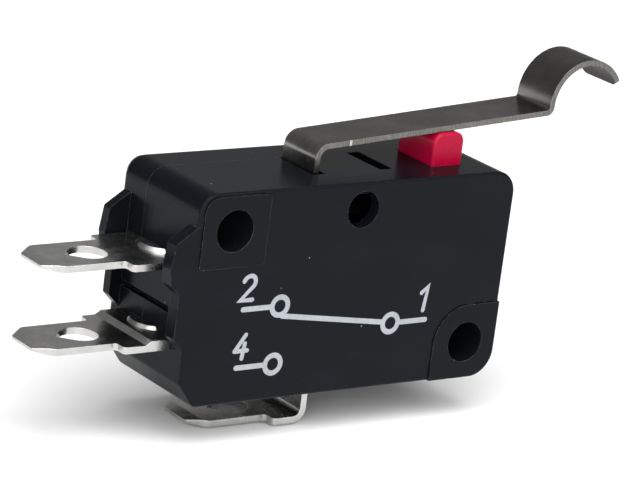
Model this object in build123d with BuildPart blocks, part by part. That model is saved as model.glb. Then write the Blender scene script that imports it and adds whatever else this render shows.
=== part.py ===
from build123d import *
import os
from math import atan2, cos, hypot, radians, sin, sqrt, tan

# A snap-action micro switch with a bent lever, a red plunger and three push-on tabs.
# +X runs along the case away from the side tabs, +Y from the printed face to the back,
# and +Z towards the lever. The origin is the middle of the lower fixing hole.
# All lengths are in millimetres.

os.makedirs("parts", exist_ok=True)

# Fixing holes and the case around them
hole_pitch_x = 22.2
hole_pitch_z = 10.3
hole_diameter = 3.1
margin_right = 2.8
margin_bottom = 2.8
margin_left = 3.1
margin_top = 2.8
case_width = 10.3
pad_proud = 0.12
wall = 1.2
face_wall = 1.0
corner_top_left = 1.5
corner_top_right = 1.75
corner_bottom_right = 2.0
corner_cut_x = 1.4
corner_cut_z = 1.9
cut_round = 0.6
cavity_corner = 0.6
edge_round = 0.2
back_round = 0.6
seam_from_middle = 1.8
seam_step = 0.45
shell_fit = 0.03
slot_fit = 0.05
overrun = 0.1
weld = 0.01

left = -hole_pitch_x - margin_left
right = margin_right
bottom = -margin_bottom
top = hole_pitch_z + margin_top
upper_hole = (-hole_pitch_x, hole_pitch_z)
pad_front = -case_width / 2
pad_back = case_width / 2
cover_front = pad_front + pad_proud
housing_back = pad_back - pad_proud
cover_inner = cover_front + face_wall
housing_inner = housing_back - face_wall

# Posts round the fixing holes, and the pads that they show on the faces
skin_left = 0.4
skin_top = 0.23
upper_pad_reach_x = 2.87
upper_pad_reach_z = 2.75
upper_pad_corner = 1.2
pad_corner = 0.3
upper_post_reach_x = 2.5
upper_post_corner = 2.3
lower_pad_reach = 2.95
lower_post_reach = 2.6
corner_flat = 0.05

# Ears beside the side tabs
ear_reach = 1.9
ear_heel = 0.95
ear_root = 0.5
ear_top_z = 10.7
ear_knee_z = 9.6
ear_knee_share = 0.87
ear_crest_z = 7.8
ear_chin_z = 6.5
ear_chin_share = 0.9
ear_neck_z = 5.85
ear_round = 0.3
ear_neck_round = 0.1
ear_heel_round = 0.25
near_ear_thickness = 1.1
far_ear_inset = 0.58
far_ear_thickness = 0.8
near_ear_heel_z = 2.5
far_ear_heel_z = 3.0

# Tabs and the metal that they are stamped from
stock = 0.8
thin_stock = 0.5
tab_thickness = thin_stock
tab_width = 4.8
tab_length = 6.35
tab_tip_thickness = 0.2
tab_bevel = 1.0
tip_cut_x = 1.4
tip_cut_y = 1.05
tip_round = 0.2
tip_cut_round = 0.4
tab_hole_radius = 1.4
tab_hole_from_shoulder = 1.65
root_width = 6.85
inner_width = 4.6
side_root_reach = 3.9
side_inner_reach = 6.3
side_tab_shoulder = left - side_root_reach
side_inner_end = left + side_inner_reach
plan_room = 1.0
nc_top = 7.74
no_bottom = 1.17
com_tab_drop = 2.3
com_tab_top = bottom - com_tab_drop
com_leg_x = -12.9
com_shoulder_from_leg = 2.55
com_bend = 0.8
com_foot_end = -8.4
com_foot_gap = 0.02
com_foot_width = 5.0
com_tab_lap = 0.15
nc_joggle_start = 0.2
nc_joggle_end = 0.5
no_root_reach = 1.6
no_root_slope = 0.5
no_ramp_start = 0.7
no_ramp_end = 1.8
no_bend = 0.6
far_shoulder_step = 0.6
shoulder_round = 0.3
dimple_radius = 1.95
dimple_height = 0.28
dimple_round = 0.1
dimple_taper = 0.2
dimple_from_end = 0.8
dimple_y = 0.15

# Contacts and the moving blade
contact_from_end = 4.6
contact_x = left + contact_from_end
contact_radius = 1.6
contact_height = 0.8
contact_dome = 0.25
contact_shank = 0.75
moving_contact_radius = 1.35
moving_contact_height = 0.4
moving_contact_dome = 0.15
moving_contact_shank = 0.6
contact_touch = 0.02
contact_gap = 0.72
rivet_fit = 0.02
rivet_x = -10.0
rivet_head_radius = 1.3
rivet_lower_height = 0.4
rivet_lower_dome = 0.1
rivet_upper_height = 0.5
rivet_upper_dome = 0.3
rivet_pocket_radius = 1.5
rivet_pocket_depth = 0.5
blade_thickness = 0.3
blade_pivot_x = -12.0
arm_width = 1.0
blade_end_width = 3.4
tongue_width = 1.6
tongue_length = 1.25
tongue_hole_radius = 0.3
tongue_hole_from_end = 0.6
window_from_head = 2.3
window_start_x = contact_x + contact_radius + window_from_head
blade_neck = 1.5
blade_tip_round = 1.2
blade_neck_round = 0.6
blade_shoulder_round = 0.8

# Bracket, rocker and spring
prong_inner = 1.85
bracket_left = -12.7
bracket_bend = 0.6
bracket_toe = 0.5
bracket_shoulder = 1.4
bracket_rounds = (0.3, 0.5, 0.8, 0.4)
notch_mouth_lead = 0.2
prong_right = -9.6
prong_top = 6.6
notch_half_angle = 30.0
rocker_pivot = (-10.6, 4.8)
trunnion_radius = 0.6
trunnion_reach = 0.85
running_fit = 0.03
rocker_hub_radius = 1.0
rocker_arm_inner = 1.05
rocker_arm_outer = 1.65
hook_bar = (-6.2, 6.1)
hook_bar_radius = 0.36
rocker_hub_round = 0.95
rocker_neck = 0.9
rocker_neck_top = 0.85
rocker_crown = 2.2
rocker_crown_back = 0.2
rocker_round = 0.8
pad_left = -3.6
pad_thickness = 1.0
pad_round = 0.4
pad_end_round = 0.3
rocker_web_in = 0.3
rocker_web_up = 0.7
rocker_web_round = 1.0
nose_block_start = -4.9
rocker_end = -0.6
pad_tilt = 5.3
wire = 0.26
loop_radius = 0.65
loop_end_angle = 30.0
coil_radius = 0.72
coil_turns = 11
coil_margin = 0.5

# Plunger
plunger_left = -3.4
plunger_right = -0.65
plunger_front = -2.65
plunger_corner = 0.8
plunger_chamfer = 0.15
plunger_fit = 0.05
flange_reach_x = 0.6
flange_reach_y = 0.3
flange_height = 0.9
flange_fit = 0.05
seam_fit = 0.1
nose_radius = 0.6
nose_length = 3.0
nose_drop = 0.8
push_gap = 0.03

# Lever
lever_thickness = 0.42
lever_front = -2.3
lever_tail_x = -13.62
lever_slope = 4.04
lever_height_at_tail = 1.93
lever_foot_z = 10.2
lever_foot_end = -9.1
lever_foot_drop = 0.2
lever_bend = 0.95
lever_low_bend = 0.6
lever_arm_end = 7.62
lever_curl_bend = 0.42
curl_radius = 3.26
curl_rise = 0.44
curl_end_angle = 26.0
lever_tip_corner = 0.5
slot_width = 1.15
slot_front = -2.5
lever_slot_x = -13.5
spare_slot_x = -7.45
seat_left = 1.4
seat_right = 1.9
seat_front = 0.4
seat_drop = 1.1

# Remaining case details
view_hole_x = -11.04
view_hole_z = 11.07
view_hole_diameter = 2.75
groove_low = 3.67
groove_height = 0.45
groove_depth = 0.45
lip_length = 1.0
lip_thickness = 0.5
lip_start = -18.5
lip_flange_room = 0.3
lip_foot_room = 0.4
ledge_length = 1.5
ledge_height = 1.4
ledge_lap = 1.0
seat_gap = 0.6
rib_width = 1.0
rib_top = 3.0

# Heights that follow from the stack of contacts
nc_bottom = nc_top - stock
nc_surface = nc_bottom - contact_height
blade_z = nc_surface - contact_touch - moving_contact_height - blade_thickness / 2
no_surface = blade_z - blade_thickness / 2 - moving_contact_height - contact_gap
no_inner_top = no_surface - contact_height
cavity_left = left + wall
cavity_right = right - wall
cavity_bottom = bottom + wall
cavity_top = top - wall
com_foot_bottom = cavity_bottom + com_foot_gap
com_foot_top = com_foot_bottom + thin_stock
no_step_end = cavity_left + no_ramp_end
no_root_top = no_bottom + stock
plunger_x = (plunger_left + plunger_right) / 2
plunger_back = seam_from_middle - seam_fit
lever_back = seam_from_middle - seam_fit


def at_y(y):
    """The plane Y = y, with X to the right and Z up in its sketches."""
    return Plane.XZ.offset(-y)


def extrude_back(depth, mode=Mode.ADD):
    """Extrude a sketch made at_y towards the back of the case."""
    extrude(amount=-depth, mode=mode)


def block(x0, x1, y0, y1, z0, z1, mode=Mode.ADD):
    """A box between two corners."""
    with Locations(((x0 + x1) / 2, (y0 + y1) / 2, (z0 + z1) / 2)):
        Box(x1 - x0, y1 - y0, z1 - z0, mode=mode)


def case_outline(mode=Mode.ADD):
    with BuildLine() as outline:
        FilletPolyline(
            (left, top),
            (right, top),
            (right, bottom),
            (left + corner_cut_x, bottom),
            (left, bottom + corner_cut_z),
            radius=[corner_top_left, corner_top_right, corner_bottom_right, cut_round, cut_round],
            close=True,
        )
    make_face(outline.edges(), mode=mode)


def cavity_outline(inset=0.0, mode=Mode.ADD):
    with BuildLine() as outline:
        FilletPolyline(
            (cavity_left + inset, cavity_top - inset),
            (cavity_right - inset, cavity_top - inset),
            (cavity_right - inset, cavity_bottom + inset),
            (cavity_left + inset, cavity_bottom + inset),
            radius=cavity_corner,
            close=True,
        )
    make_face(outline.edges(), mode=mode)


def upper_outline(reach_x, low_z, inner_corner, grow=0.0):
    """Outline of the upper pad or post, inside the thin skin of the cover."""
    x0 = left + skin_left - grow
    x1 = upper_hole[0] + reach_x + grow
    z0 = low_z - grow
    z1 = top - skin_top + grow
    with BuildLine() as outline:
        FilletPolyline(
            (x0, z1),
            (x1, z1),
            (x1, z0),
            (x0, z0),
            radius=[upper_pad_corner, pad_corner, inner_corner, pad_corner],
            close=True,
        )
    make_face(outline.edges())


def lower_outline(reach, outer_grow=0.0, grow=0.0):
    """Outline of the lower pad or post, which forms the corner of the case."""
    x1 = right + outer_grow
    z0 = bottom - outer_grow
    outer_corner = corner_bottom_right if outer_grow == 0 else 0.0
    with BuildLine() as outline:
        FilletPolyline(
            (-reach - grow, reach + grow),
            (x1, reach + grow),
            (x1, z0),
            (-reach - grow, z0),
            radius=[reach + grow - corner_flat, 0.0, outer_corner, 0.0],
            close=True,
        )
    make_face(outline.edges())


def ear_outline(heel_z):
    with BuildLine() as outline:
        FilletPolyline(
            (left + ear_root, ear_top_z),
            (left, ear_top_z),
            (left - ear_knee_share * ear_reach, ear_knee_z),
            (left - ear_reach, ear_crest_z),
            (left - ear_chin_share * ear_reach, ear_chin_z),
            (left - ear_heel, ear_neck_z),
            (left - ear_heel, heel_z),
            (left, heel_z - ear_heel),
            (left + ear_root, heel_z - ear_heel),
            radius=[0.0, 0.0, ear_round, ear_round, ear_round, ear_neck_round, ear_heel_round, 0.0, 0.0],
            close=True,
        )
    make_face(outline.edges())


def cut_terminal_slots():
    """Slots in the end wall for the side tabs and in the floor for the common tab."""
    half = root_width / 2 + slot_fit
    outside = left - ear_reach
    block(outside, cavity_left + weld, -half, half, nc_top - tab_thickness - slot_fit, nc_top + slot_fit,
          mode=Mode.SUBTRACT)
    block(outside, cavity_left + weld, -half, half, no_bottom - slot_fit, no_bottom + stock + slot_fit,
          mode=Mode.SUBTRACT)
    leg_left = com_leg_x - thin_stock / 2 - slot_fit
    leg_right = com_leg_x + thin_stock / 2 + slot_fit
    block(leg_left, leg_right, -half, half, bottom - overrun, cavity_bottom + weld, mode=Mode.SUBTRACT)
    block(leg_left, leg_right + com_bend, -half, half, cavity_bottom - com_bend, cavity_bottom + weld,
          mode=Mode.SUBTRACT)


# Cover: the front half shell, with the openings for lever and plunger notched into its seam
upper_pad_low = upper_hole[1] - upper_pad_reach_z
upper_post_low = nc_top + slot_fit
with BuildPart() as cover:
    with BuildSketch(at_y(cover_front)):
        case_outline()
    extrude_back(seam_from_middle - cover_front)
    fillet(cover.faces().sort_by(Axis.Y)[0].edges(), radius=edge_round)
    with BuildSketch(at_y(cover_front)):
        ear_outline(near_ear_heel_z)
    extrude_back(near_ear_thickness)
    with BuildSketch(at_y(cover_inner)):
        cavity_outline()
    extrude_back(seam_from_middle - cover_inner, mode=Mode.SUBTRACT)
    # Thicker wall that the lever hooks into
    block(lever_slot_x - seat_left, lever_slot_x + seat_right, slot_front - seat_front, seam_from_middle,
          cavity_top - seat_drop, cavity_top + overrun)
    # Openings for the pads and posts of the housing
    with BuildSketch(at_y(pad_front - overrun)):
        upper_outline(upper_pad_reach_x, upper_pad_low, pad_corner, grow=shell_fit)
        lower_outline(lower_pad_reach, outer_grow=wall, grow=shell_fit)
    extrude_back(cover_inner - pad_front + overrun, mode=Mode.SUBTRACT)
    with BuildSketch(at_y(cover_inner - overrun)):
        upper_outline(upper_post_reach_x, upper_post_low, upper_post_corner, grow=shell_fit)
        lower_outline(lower_post_reach, outer_grow=wall, grow=shell_fit)
    extrude_back(seam_from_middle - cover_inner + 2 * overrun, mode=Mode.SUBTRACT)
    # View hole, slots and the groove in the end wall
    with BuildSketch(at_y(cover_front)):
        with Locations((view_hole_x, view_hole_z)):
            Circle(view_hole_diameter / 2)
    extrude_back(face_wall, mode=Mode.SUBTRACT)
    cut_terminal_slots()
    for slot_x in (lever_slot_x, spare_slot_x):
        block(slot_x - slot_width / 2, slot_x + slot_width / 2, slot_front, seam_from_middle,
              cavity_top - seat_drop - overrun, top + overrun, mode=Mode.SUBTRACT)
    block(plunger_left - plunger_fit, plunger_right + plunger_fit, plunger_front - plunger_fit,
          seam_from_middle, cavity_top - overrun, top + overrun, mode=Mode.SUBTRACT)
    block(left - overrun, left + groove_depth, cover_front + near_ear_thickness, seam_from_middle,
          groove_low, groove_low + groove_height, mode=Mode.SUBTRACT)
    # Room for the step in the seam between the groove and the lower tab
    block(left - overrun, cavity_left + weld, seam_step, seam_from_middle, no_root_top + slot_fit,
          groove_low + shell_fit, mode=Mode.SUBTRACT)
    # Pocket in the floor for the rivet's lower head
    with BuildSketch(Plane.XY.offset(cavity_bottom - rivet_pocket_depth)):
        with Locations((rivet_x, 0)):
            Circle(rivet_pocket_radius)
    extrude(amount=rivet_pocket_depth + overrun, mode=Mode.SUBTRACT)
    # Rib that holds the bracket from the front
    block(bracket_left, bracket_left + rib_width, cover_inner - overrun, -prong_inner - stock - shell_fit,
          com_foot_top + slot_fit, rib_top)
cover.part.label = "cover"

# Housing: the rear half shell with both posts
with BuildPart() as housing:
    with BuildSketch(at_y(seam_from_middle)):
        case_outline()
    extrude_back(housing_back - seam_from_middle)
    fillet(housing.faces().sort_by(Axis.Y)[-1].edges(), radius=back_round)
    with BuildSketch(at_y(housing_back - far_ear_inset - far_ear_thickness)):
        ear_outline(far_ear_heel_z)
    extrude_back(far_ear_thickness)
    with BuildSketch(at_y(seam_from_middle)):
        cavity_outline()
    extrude_back(housing_inner - seam_from_middle, mode=Mode.SUBTRACT)
    # Lip that steps into the cover, and the thicker wall that it grows from
    with BuildSketch(at_y(seam_from_middle)):
        cavity_outline()
        cavity_outline(inset=lip_thickness, mode=Mode.SUBTRACT)
    extrude_back(lip_length)
    with BuildSketch(at_y(seam_from_middle - lip_length)):
        cavity_outline(inset=shell_fit)
        cavity_outline(inset=lip_thickness, mode=Mode.SUBTRACT)
    extrude_back(lip_length)
    lip_front = seam_from_middle - lip_length - overrun
    lip_back = seam_from_middle + lip_length + overrun
    clear = lip_thickness + overrun
    block(cavity_left, lip_start, lip_front, lip_back, cavity_bottom, cavity_top, mode=Mode.SUBTRACT)
    block(lever_slot_x - seat_left - overrun, lever_slot_x + seat_right + overrun,
          lip_front, seam_from_middle, cavity_top - clear, cavity_top, mode=Mode.SUBTRACT)
    flange_room = flange_reach_x + lip_flange_room
    block(plunger_left - flange_room, plunger_right + flange_room, lip_front, lip_back,
          cavity_top - clear, cavity_top, mode=Mode.SUBTRACT)
    block(com_leg_x - stock, com_foot_end + lip_foot_room, lip_front, lip_back,
          cavity_bottom, cavity_bottom + clear, mode=Mode.SUBTRACT)
    # Step of the seam in the end wall
    block(left, cavity_left, seam_step + shell_fit, seam_from_middle + overrun, no_root_top + slot_fit,
          groove_low)
    # Posts and pads
    with BuildSketch(at_y(cover_inner)):
        upper_outline(upper_post_reach_x, upper_post_low, upper_post_corner)
        lower_outline(lower_post_reach)
    extrude_back(housing_inner - cover_inner + overrun)
    with BuildSketch(at_y(pad_front)):
        upper_outline(upper_pad_reach_x, upper_pad_low, pad_corner)
        lower_outline(lower_pad_reach)
    extrude_back(face_wall + pad_proud)
    with BuildSketch(at_y(housing_back - overrun)):
        upper_outline(upper_pad_reach_x, upper_pad_low, pad_corner)
        lower_outline(lower_pad_reach)
    extrude_back(pad_proud + overrun)
    # Fixing holes
    with BuildSketch(at_y(pad_front - overrun)):
        with Locations((0, 0), upper_hole):
            Circle(hole_diameter / 2)
    extrude_back(case_width + 2 * overrun, mode=Mode.SUBTRACT)
    cut_terminal_slots()
    far_ear_front = housing_back - far_ear_inset - far_ear_thickness
    block(left - overrun, left + groove_depth, seam_from_middle, far_ear_front,
          groove_low, groove_low + groove_height, mode=Mode.SUBTRACT)
    # Ledge under the upper side terminal and seat under the lower one
    block(cavity_left + shell_fit, cavity_left + ledge_length, inner_width / 2 - ledge_lap,
          housing_inner + overrun, nc_bottom - slot_fit - ledge_height, nc_bottom - slot_fit)
    seat_top = no_inner_top - stock - slot_fit
    block(no_step_end + seat_gap, side_inner_end, -inner_width / 2, housing_inner + overrun,
          cavity_bottom + slot_fit, seat_top)
    # Rib that holds the bracket from the back
    block(bracket_left, bracket_left + rib_width, prong_inner + stock + shell_fit, housing_inner + overrun,
          com_foot_top + slot_fit, rib_top)
housing.part.label = "housing"


def tab_plan(tip_x, shoulder_x, root_end):
    """Plan of a tab with its cut corners, drop-shaped hole and wider root."""
    half = tab_width / 2
    root = root_width / 2
    far_shoulder_x = shoulder_x + far_shoulder_step
    with BuildLine() as outline:
        FilletPolyline(
            (tip_x, half - tip_cut_y),
            (tip_x + tip_cut_x, half),
            (far_shoulder_x, half),
            (far_shoulder_x, root),
            (root_end, root),
            (root_end, -root),
            (shoulder_x, -root),
            (shoulder_x, -half),
            (tip_x + tip_cut_x, -half),
            (tip_x, -half + tip_cut_y),
            radius=[
                tip_round,
                tip_cut_round,
                shoulder_round,
                shoulder_round,
                0.0,
                0.0,
                shoulder_round,
                shoulder_round,
                tip_cut_round,
                tip_round,
            ],
            close=True,
        )
    make_face(outline.edges())
    hole_x = shoulder_x - tab_hole_from_shoulder
    with Locations((hole_x, 0)):
        Circle(tab_hole_radius, mode=Mode.SUBTRACT)
    with Locations((hole_x - tab_hole_radius / sqrt(2), 0)):
        Rectangle(tab_hole_radius, tab_hole_radius, rotation=45, mode=Mode.SUBTRACT)


def span(x0, x1, width, mode=Mode.ADD):
    """A rectangle in plan between two X values, centred on the middle of the case."""
    with Locations(((x0 + x1) / 2, 0)):
        Rectangle(abs(x1 - x0), width, mode=mode)


def tab_side(tip_x, end_x, low_z):
    """Side view of a tab with its bevelled tip."""
    middle = low_z + tab_thickness / 2
    with BuildLine() as outline:
        Polyline(
            (tip_x, middle - tab_tip_thickness / 2),
            (tip_x + tab_bevel, low_z),
            (end_x, low_z),
            (end_x, low_z + tab_thickness),
            (tip_x + tab_bevel, low_z + tab_thickness),
            (tip_x, middle + tab_tip_thickness / 2),
            close=True,
        )
    make_face(outline.edges())


def rivet(x, low, high, radius, lower_head=None, upper_head=None):
    """A rivet between two heights; each head is its radius, height and dome."""
    foot = low - (lower_head[1] if lower_head else 0)
    crown = high + (upper_head[1] if upper_head else 0)
    with BuildSketch(Plane.XZ) as section:
        with BuildLine():
            if lower_head:
                head, height, dome = lower_head
                TangentArc((x, low - height), (x + head, low - height + dome), tangent=(1, 0))
                Polyline((x + head, low - height + dome), (x + head, low), (x + radius, low))
            else:
                Line((x, low), (x + radius, low))
            Line((x + radius, low), (x + radius, high))
            if upper_head:
                head, height, dome = upper_head
                Polyline((x + radius, high), (x + head, high), (x + head, high + height - dome))
                TangentArc((x, high + height), (x + head, high + height - dome), tangent=(1, 0))
            else:
                Line((x + radius, high), (x, high))
            Line((x, crown), (x, foot))
        make_face()
    revolve(section.sketch, axis=Axis((x, 0, 0), (0, 0, 1)))


def shank(x, z0, z1, radius, mode=Mode.ADD):
    """An upright cylinder between two heights."""
    with BuildSketch(Plane.XY.offset(z0)) as section:
        with Locations((x, 0)):
            Circle(radius)
    extrude(section.sketch, amount=z1 - z0, mode=mode)


# Half-round dimple pressed up beside the end wall, as far as the wall lets it be seen
with BuildPart() as dimple:
    with Locations((left + dimple_from_end, dimple_y, 0)):
        Cone(
            dimple_radius,
            dimple_radius - dimple_taper,
            dimple_height,
            align=(Align.CENTER, Align.CENTER, Align.MIN),
        )
    fillet(dimple.edges().group_by(Axis.Z)[-1], radius=dimple_round)
    block(left - 2 * dimple_radius, left - slot_fit, -2 * dimple_radius, 2 * dimple_radius, 0, dimple_height,
          mode=Mode.INTERSECT)

# Upper side terminal, normally closed
side_tip = side_tab_shoulder - tab_length
with BuildPart() as nc_terminal:
    with BuildSketch(Plane.XZ):
        tab_side(side_tip, cavity_left + nc_joggle_end, nc_top - tab_thickness)
        with BuildLine():
            Polyline(
                (cavity_left + nc_joggle_start, nc_top),
                (cavity_left + nc_joggle_start, nc_top - tab_thickness),
                (cavity_left + nc_joggle_end, nc_bottom),
                (side_inner_end, nc_bottom),
                (side_inner_end, nc_top),
                close=True,
            )
        make_face()
    extrude(amount=root_width / 2, both=True)
    with BuildSketch(Plane.XY.offset(nc_top + plan_room)):
        tab_plan(side_tip, side_tab_shoulder, cavity_left + overrun)
        span(cavity_left, side_inner_end, inner_width)
    extrude(amount=-stock - 2 * plan_room, mode=Mode.INTERSECT)
    shank(contact_x, nc_bottom - overrun, nc_top + overrun, contact_shank + rivet_fit, mode=Mode.SUBTRACT)
    with Locations((0, 0, nc_top)):
        add(dimple.part)
nc_terminal.part.label = "nc_terminal"

contact_head = (contact_radius, contact_height, contact_dome)
with BuildPart() as nc_contact:
    rivet(contact_x, nc_bottom, nc_top, contact_shank, lower_head=contact_head)
nc_contact.part.label = "nc_contact"

# Lower side terminal, normally open, stepped up inside the case to reach its contact
no_step_x = left - no_root_reach
with BuildPart() as no_terminal:
    with BuildSketch(Plane.XZ):
        tab_side(side_tip, no_step_x, no_bottom)
        with BuildLine():
            Polyline(
                (no_step_x - no_root_slope, no_bottom + tab_thickness),
                (no_step_x, no_root_top),
                (no_step_x, no_bottom),
                (no_step_x - no_root_slope, no_bottom),
                close=True,
            )
        make_face()
        with BuildLine():
            FilletPolyline(
                (no_step_x, no_bottom + stock / 2),
                (cavity_left + no_ramp_start, no_bottom + stock / 2),
                (no_step_end, no_inner_top - stock / 2),
                (side_inner_end, no_inner_top - stock / 2),
                radius=no_bend,
            )
        trace(line_width=stock)
    extrude(amount=root_width / 2, both=True)
    with BuildSketch(Plane.XY.offset(no_inner_top + plan_room)):
        tab_plan(side_tip, side_tab_shoulder, cavity_left + overrun)
        span(cavity_left, side_inner_end, inner_width)
    extrude(amount=no_bottom - no_inner_top - 2 * plan_room, mode=Mode.INTERSECT)
    shank(contact_x, no_inner_top - stock - overrun, no_inner_top + overrun, contact_shank + rivet_fit,
          mode=Mode.SUBTRACT)
    with Locations((0, 0, no_root_top)):
        add(dimple.part)
no_terminal.part.label = "no_terminal"

with BuildPart() as no_contact:
    rivet(contact_x, no_inner_top - stock, no_inner_top, contact_shank, upper_head=contact_head)
no_contact.part.label = "no_contact"

# Common terminal: tab under the case, leg through the floor, foot inside
com_low = com_tab_top - tab_thickness
com_middle = com_tab_top - tab_thickness / 2
com_shoulder = com_leg_x - com_shoulder_from_leg
com_tip = com_shoulder - tab_length
with BuildPart() as com_terminal:
    with BuildSketch(Plane.XZ):
        tab_side(com_tip, com_leg_x - com_bend, com_low)
        with BuildLine():
            FilletPolyline(
                (com_leg_x - com_bend - com_tab_lap, com_middle),
                (com_leg_x, com_middle),
                (com_leg_x, com_foot_bottom + thin_stock / 2),
                (com_foot_end, com_foot_bottom + thin_stock / 2),
                radius=com_bend,
            )
        trace(line_width=thin_stock)
    extrude(amount=root_width / 2, both=True)
    with BuildSketch(Plane.XY.offset(com_foot_top + plan_room)):
        tab_plan(com_tip, com_shoulder, com_leg_x + thin_stock / 2)
        span(com_leg_x, com_foot_end, com_foot_width)
    extrude(amount=com_low - com_foot_top - 2 * plan_room, mode=Mode.INTERSECT)
    shank(rivet_x, com_foot_bottom - overrun, com_foot_top + overrun, contact_shank + rivet_fit,
          mode=Mode.SUBTRACT)
com_terminal.part.label = "com_terminal"

# Forked bracket on the foot: a bent-up channel whose sides carry the blade and the rocker
base_top = com_foot_top + stock
with BuildPart() as blade_bracket:
    channel_y = prong_inner + stock / 2
    with BuildSketch(Plane.YZ.offset(bracket_left)):
        with BuildLine():
            FilletPolyline(
                (-channel_y, prong_top),
                (-channel_y, com_foot_top + stock / 2),
                (channel_y, com_foot_top + stock / 2),
                (channel_y, prong_top),
                radius=bracket_bend,
            )
        trace(line_width=stock)
    extrude(amount=com_foot_end - bracket_left)
    notch_depth = blade_thickness / 2 / tan(radians(notch_half_angle)) + 2 * running_fit
    notch_x = blade_pivot_x + notch_depth
    notch_mouth = (notch_x - bracket_left + notch_mouth_lead) * tan(radians(notch_half_angle))
    with BuildSketch(Plane.XZ):
        with BuildLine():
            FilletPolyline(
                (bracket_left, com_foot_top - overrun),
                (com_foot_end, com_foot_top - overrun),
                (com_foot_end, base_top + bracket_toe),
                (prong_right, base_top + bracket_shoulder),
                (prong_right, prong_top),
                (bracket_left, prong_top),
                radius=[0.0, 0.0, *bracket_rounds],
                close=True,
            )
        make_face()
        with BuildLine():
            Polyline(
                (bracket_left - notch_mouth_lead, blade_z - notch_mouth),
                (notch_x, blade_z),
                (bracket_left - notch_mouth_lead, blade_z + notch_mouth),
                close=True,
            )
        make_face(mode=Mode.SUBTRACT)
    extrude(amount=case_width / 2, both=True, mode=Mode.INTERSECT)
    for side in (-1, 1):
        with BuildSketch(at_y(side * (prong_inner + overrun))):
            with Locations(rocker_pivot):
                Circle(trunnion_radius)
        extrude(amount=side * (trunnion_reach + overrun))
    shank(rivet_x, com_foot_top - overrun, base_top + overrun, contact_shank + rivet_fit, mode=Mode.SUBTRACT)
blade_bracket.part.label = "blade_bracket"

rivet_lower = (rivet_head_radius, rivet_lower_height, rivet_lower_dome)
rivet_upper = (rivet_head_radius, rivet_upper_height, rivet_upper_dome)
with BuildPart() as com_rivet:
    rivet(rivet_x, com_foot_bottom, base_top, contact_shank, lower_head=rivet_lower, upper_head=rivet_upper)
com_rivet.part.label = "com_rivet"

# Moving blade: a fork whose arms bear in the notches, with a tongue for the spring
with BuildPart() as moving_blade:
    arm_middle = prong_inner + stock / 2
    arm_outer = arm_middle + arm_width / 2
    arm_inner = arm_middle - arm_width / 2
    with BuildSketch(Plane.XY.offset(blade_z - blade_thickness / 2)):
        with BuildLine():
            FilletPolyline(
                (contact_x - contact_radius, blade_end_width / 2),
                (contact_x - contact_radius, -blade_end_width / 2),
                (contact_x + contact_radius, -blade_end_width / 2),
                (contact_x + contact_radius + blade_neck, -arm_outer),
                (blade_pivot_x, -arm_outer),
                (blade_pivot_x, arm_outer),
                (contact_x + contact_radius + blade_neck, arm_outer),
                (contact_x + contact_radius, blade_end_width / 2),
                radius=[
                    blade_tip_round,
                    blade_tip_round,
                    blade_neck_round,
                    blade_shoulder_round,
                    0.0,
                    0.0,
                    blade_shoulder_round,
                    blade_neck_round,
                ],
                close=True,
            )
        make_face()
        span(window_start_x, blade_pivot_x + plan_room, 2 * arm_inner, mode=Mode.SUBTRACT)
        tongue_end = window_start_x + tongue_length
        span(window_start_x - overrun, tongue_end, tongue_width)
        with Locations((tongue_end - tongue_hole_from_end, 0)):
            Circle(tongue_hole_radius, mode=Mode.SUBTRACT)
        with Locations((contact_x, 0)):
            Circle(moving_contact_shank + rivet_fit, mode=Mode.SUBTRACT)
    extrude(amount=blade_thickness)
moving_blade.part.label = "moving_blade"

with BuildPart() as moving_contact:
    blade_top = blade_z + blade_thickness / 2
    blade_low = blade_z - blade_thickness / 2
    moving_head = (moving_contact_radius, moving_contact_height, moving_contact_dome)
    rivet(contact_x, blade_low, blade_top, moving_contact_shank, moving_head, moving_head)
moving_contact.part.label = "moving_contact"

# Plunger: its top lies just under the lever, its flange under the top wall
lever_middle_at_tail = top + lever_height_at_tail
slope = tan(radians(lever_slope))
flat_left = plunger_left + plunger_corner
lever_drop = lever_thickness / 2 / cos(radians(lever_slope))
plunger_top = lever_middle_at_tail + (flat_left - lever_tail_x) * slope - lever_drop - push_gap
flange_top = cavity_top - flange_fit
flange_low = flange_top - flange_height
nose_centre_z = flange_low - nose_drop
with BuildPart() as plunger:
    with BuildSketch(at_y(plunger_front)):
        with BuildLine():
            FilletPolyline(
                (plunger_left, plunger_top),
                (plunger_right, plunger_top),
                (plunger_right, flange_low),
                (plunger_left, flange_low),
                radius=[plunger_corner, plunger_corner, 0.0, 0.0],
                close=True,
            )
        make_face()
    extrude_back(plunger_back - plunger_front)
    ends = plunger.faces().filter_by(Axis.Y)
    chamfer(ends.edges().group_by(Axis.Z)[-1], length=plunger_chamfer)
    block(plunger_left - flange_reach_x, plunger_right + flange_reach_x,
          plunger_front - flange_reach_y, plunger_back + flange_reach_y, flange_low, flange_top)
    with BuildSketch(Plane.XZ):
        with Locations((plunger_x, nose_centre_z)):
            Circle(nose_radius)
        with Locations((plunger_x, (nose_centre_z + flange_low) / 2)):
            Rectangle(2 * nose_radius, nose_drop)
    extrude(amount=nose_length / 2, both=True)
plunger.part.label = "plunger"

# Rocker: two arms on the bracket's trunnions, a bar for the spring and a pad for the plunger
tilt = radians(pad_tilt)
nose_reach = nose_radius + push_gap
pad_point = (plunger_x + nose_reach * sin(tilt), nose_centre_z - nose_reach * cos(tilt))


def pad_height(x):
    """Height of the rocker's sloping pad at an X value."""
    return pad_point[1] + (x - pad_point[0]) * tan(tilt)


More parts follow.
